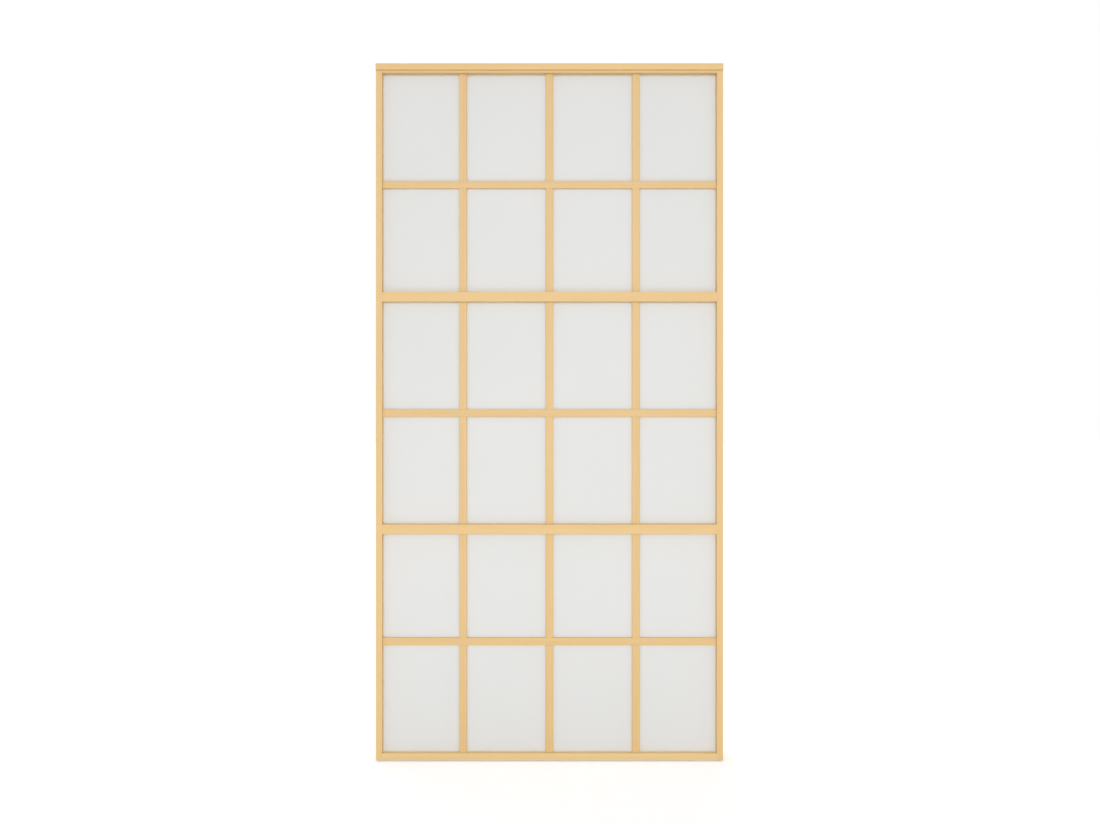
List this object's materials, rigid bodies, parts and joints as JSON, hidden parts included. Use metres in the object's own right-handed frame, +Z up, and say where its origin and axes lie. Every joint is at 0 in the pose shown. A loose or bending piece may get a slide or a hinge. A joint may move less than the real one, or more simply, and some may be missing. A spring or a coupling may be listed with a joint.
{
  "type": "sliding glass door",
  "caption": "Sliding door leaf of white satin glass with a wood-tone lattice, hung on a concealed telescopic head gear in front of its frame.",
  "frame": {"origin": "on the floor, at the middle of the width and of the depth", "axes": "+X to the right seen from the front and the way the leaf opens, +Y from the front to the wall behind, +Z up"},
  "size_m": [1, 0.096, 2.01],
  "materials": {
    "wood_wrap": "satin pale wood-tone wrap on aluminium extrusion",
    "lattice": "satin pale wood",
    "frame_wood": "satin pale wood",
    "satin_glass": "white satin",
    "beige_plastic": "moulded, to match the wood",
    "gasket": "matt beige",
    "stop_rubber": "matt",
    "brush_pile": "woven pile",
    "zinc_steel": "zinc plated",
    "aluminium": "satin anodised",
    "nylon": "natural nylon"
  },
  "bodies": {
    "frame": {"head_pelmet": "wood_wrap", "head_board": "frame_wood", "soffit": "frame_wood", "left_jamb": "frame_wood", "right_jamb": "frame_wood", "left_seal": "brush_pile", "right_seal": "brush_pile", "sill": "frame_wood", "end_cap": "beige_plastic", "fixed_channel": "aluminium", "fixed_channel_screws": "zinc_steel", "fixed_rack": "nylon", "fixed_left_stop": "stop_rubber", "fixed_right_stop": "stop_rubber", "frame_screws": "zinc_steel", "cover_screws": "zinc_steel", "guide_bracket": "zinc_steel", "guide_fin": "nylon", "guide_screws": "zinc_steel"},
    "carriage": {"carriage_beam": "zinc_steel", "wheel_axles": "zinc_steel", "pinion_bracket": "zinc_steel", "pinion_stud": "zinc_steel"},
    "leaf": {"bottom_rail": "wood_wrap", "corner_caps": "beige_plastic", "corner_screws": "zinc_steel", "leaf_channel": "aluminium", "leaf_channel_screws": "zinc_steel", "leaf_left_stop": "stop_rubber", "leaf_rack": "nylon", "leaf_right_stop": "stop_rubber", "left_stile": "wood_wrap", "lower_crossbar": "lattice", "lower_gasket": "gasket", "lower_glass": "satin_glass", "lower_left_upright": "lattice", "lower_mid_rail": "wood_wrap", "lower_middle_upright": "lattice", "lower_right_upright": "lattice", "middle_crossbar": "lattice", "middle_gasket": "gasket", "middle_glass": "satin_glass", "middle_left_upright": "lattice", "middle_middle_upright": "lattice", "middle_right_upright": "lattice", "right_stile": "wood_wrap", "top_rail": "wood_wrap", "upper_crossbar": "lattice", "upper_gasket": "gasket", "upper_glass": "satin_glass", "upper_left_upright": "lattice", "upper_mid_rail": "wood_wrap", "upper_middle_upright": "lattice", "upper_right_upright": "lattice"},
    "front_left_wheel": {"front_left_wheel": "nylon"},
    "front_right_wheel": {"front_right_wheel": "nylon"},
    "back_left_wheel": {"back_left_wheel": "nylon"},
    "back_right_wheel": {"back_right_wheel": "nylon"},
    "pinion": {"pinion": "nylon"}
  },
  "joints": [
    {"name": "beam_slide", "type": "slide", "parent": "frame", "child": "carriage", "axis": [1, 0, 0], "range_m": [0, 0.45]},
    {"name": "leaf_slide", "type": "slide", "parent": "carriage", "child": "leaf", "axis": [1, 0, 0], "range_m": [0, 0.45]},
    {"name": "front_left_wheel_spin", "type": "hinge", "parent": "carriage", "child": "front_left_wheel", "pos_m": [-0.02, 0.005, 1.984], "axis": [0, 1, 0], "continuous": true},
    {"name": "front_right_wheel_spin", "type": "hinge", "parent": "carriage", "child": "front_right_wheel", "pos_m": [0.47, 0.005, 1.984], "axis": [0, 1, 0], "continuous": true},
    {"name": "back_left_wheel_spin", "type": "hinge", "parent": "carriage", "child": "back_left_wheel", "pos_m": [-0.47, 0.03, 1.984], "axis": [0, 1, 0], "continuous": true},
    {"name": "back_right_wheel_spin", "type": "hinge", "parent": "carriage", "child": "back_right_wheel", "pos_m": [0.02, 0.03, 1.984], "axis": [0, 1, 0], "continuous": true},
    {"name": "pinion_spin", "type": "hinge", "parent": "carriage", "child": "pinion", "pos_m": [0, 0.0175, 1.9565], "axis": [0, 0, 1], "continuous": true}
  ],
  "couplings": [
    {"joint": "leaf_slide", "follows": "beam_slide", "ratio": 1},
    {"joint": "front_left_wheel_spin", "follows": "beam_slide", "rad_per_m": 71.429},
    {"joint": "front_right_wheel_spin", "follows": "beam_slide", "rad_per_m": 71.429},
    {"joint": "back_left_wheel_spin", "follows": "beam_slide", "rad_per_m": 71.429},
    {"joint": "back_right_wheel_spin", "follows": "beam_slide", "rad_per_m": 71.429},
    {"joint": "pinion_spin", "follows": "beam_slide", "rad_per_m": 71.429}
  ]
}
